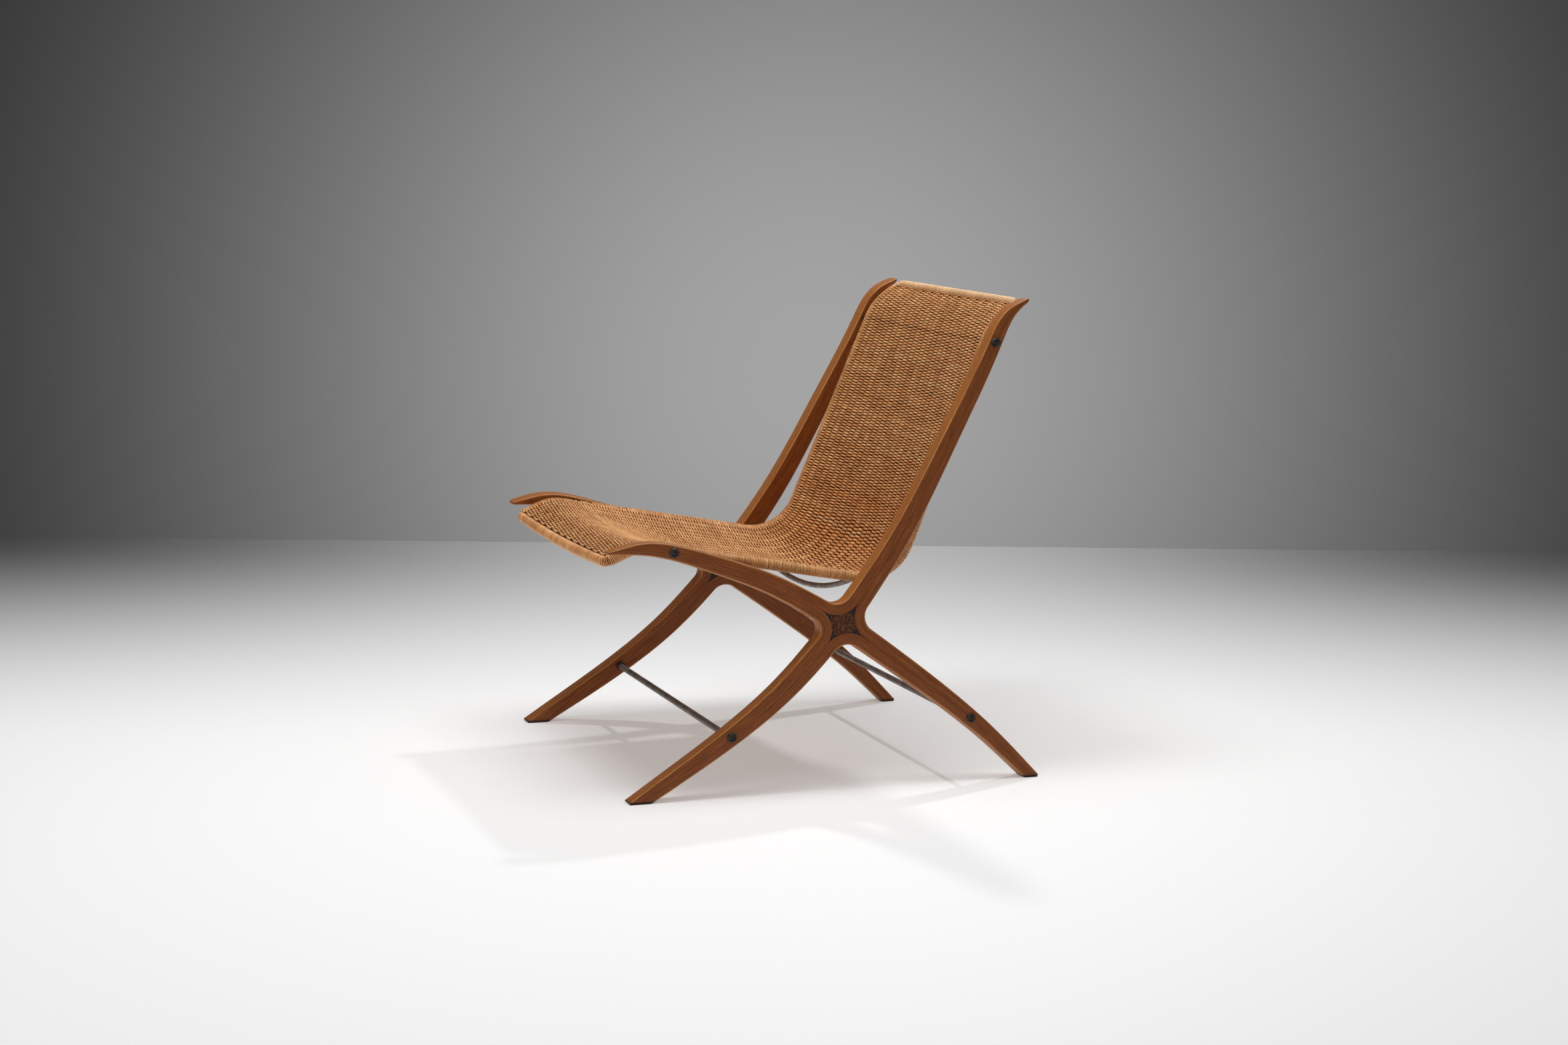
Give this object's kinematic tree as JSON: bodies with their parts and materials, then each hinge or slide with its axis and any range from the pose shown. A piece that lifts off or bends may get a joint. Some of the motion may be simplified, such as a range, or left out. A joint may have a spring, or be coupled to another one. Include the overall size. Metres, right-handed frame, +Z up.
{
  "type": "lounge chair",
  "caption": "Low lounge chair with crossed bent-laminated wooden side frames, steel stretcher rods and a continuous woven cane seat and back on a steel rod frame.",
  "frame": {"origin": "on the floor, at the middle of the chair's footprint box", "axes": "+Z up, the sitter faces -Y, +X towards the sitter's left"},
  "size_m": [0.622, 0.6684, 0.718],
  "materials": {
    "laminated_wood": "oiled mid-brown laminated wood",
    "end_grain": "dark end grain",
    "cane": "woven peeled cane",
    "steel": "dark grey-brown steel rod",
    "blackened_steel": "blackened steel",
    "spacer": "dark hard rubber"
  },
  "bodies": {
    "root": {"left_front_lamination": "laminated_wood", "left_top_lamination": "laminated_wood", "left_rear_lamination": "laminated_wood", "left_arch_lamination": "laminated_wood", "left_crossing_key": "end_grain", "right_front_lamination": "laminated_wood", "right_top_lamination": "laminated_wood", "right_rear_lamination": "laminated_wood", "right_arch_lamination": "laminated_wood", "right_crossing_key": "end_grain", "left_side_rail": "steel", "right_side_rail": "steel", "front_rail": "steel", "top_rail": "steel", "seat_brace": "steel", "front_stretcher": "steel", "rear_stretcher": "steel", "cane_panel": "cane", "left_edge_wrap": "cane", "right_edge_wrap": "cane", "front_binding": "cane", "top_binding": "cane", "left_seat_bush": "spacer", "left_back_bush": "spacer", "left_front_ferrule": "spacer", "left_rear_ferrule": "spacer", "right_seat_bush": "spacer", "right_back_bush": "spacer", "right_front_ferrule": "spacer", "right_rear_ferrule": "spacer", "left_seat_screw": "blackened_steel", "left_back_screw": "blackened_steel", "left_front_leg_screw": "blackened_steel", "left_rear_leg_screw": "blackened_steel", "right_seat_screw": "blackened_steel", "right_back_screw": "blackened_steel", "right_front_leg_screw": "blackened_steel", "right_rear_leg_screw": "blackened_steel", "left_seat_washer": "blackened_steel", "left_back_washer": "blackened_steel", "left_front_leg_washer": "blackened_steel", "left_rear_leg_washer": "blackened_steel", "right_seat_washer": "blackened_steel", "right_back_washer": "blackened_steel", "right_front_leg_washer": "blackened_steel", "right_rear_leg_washer": "blackened_steel"}
  },
  "joints": []
}
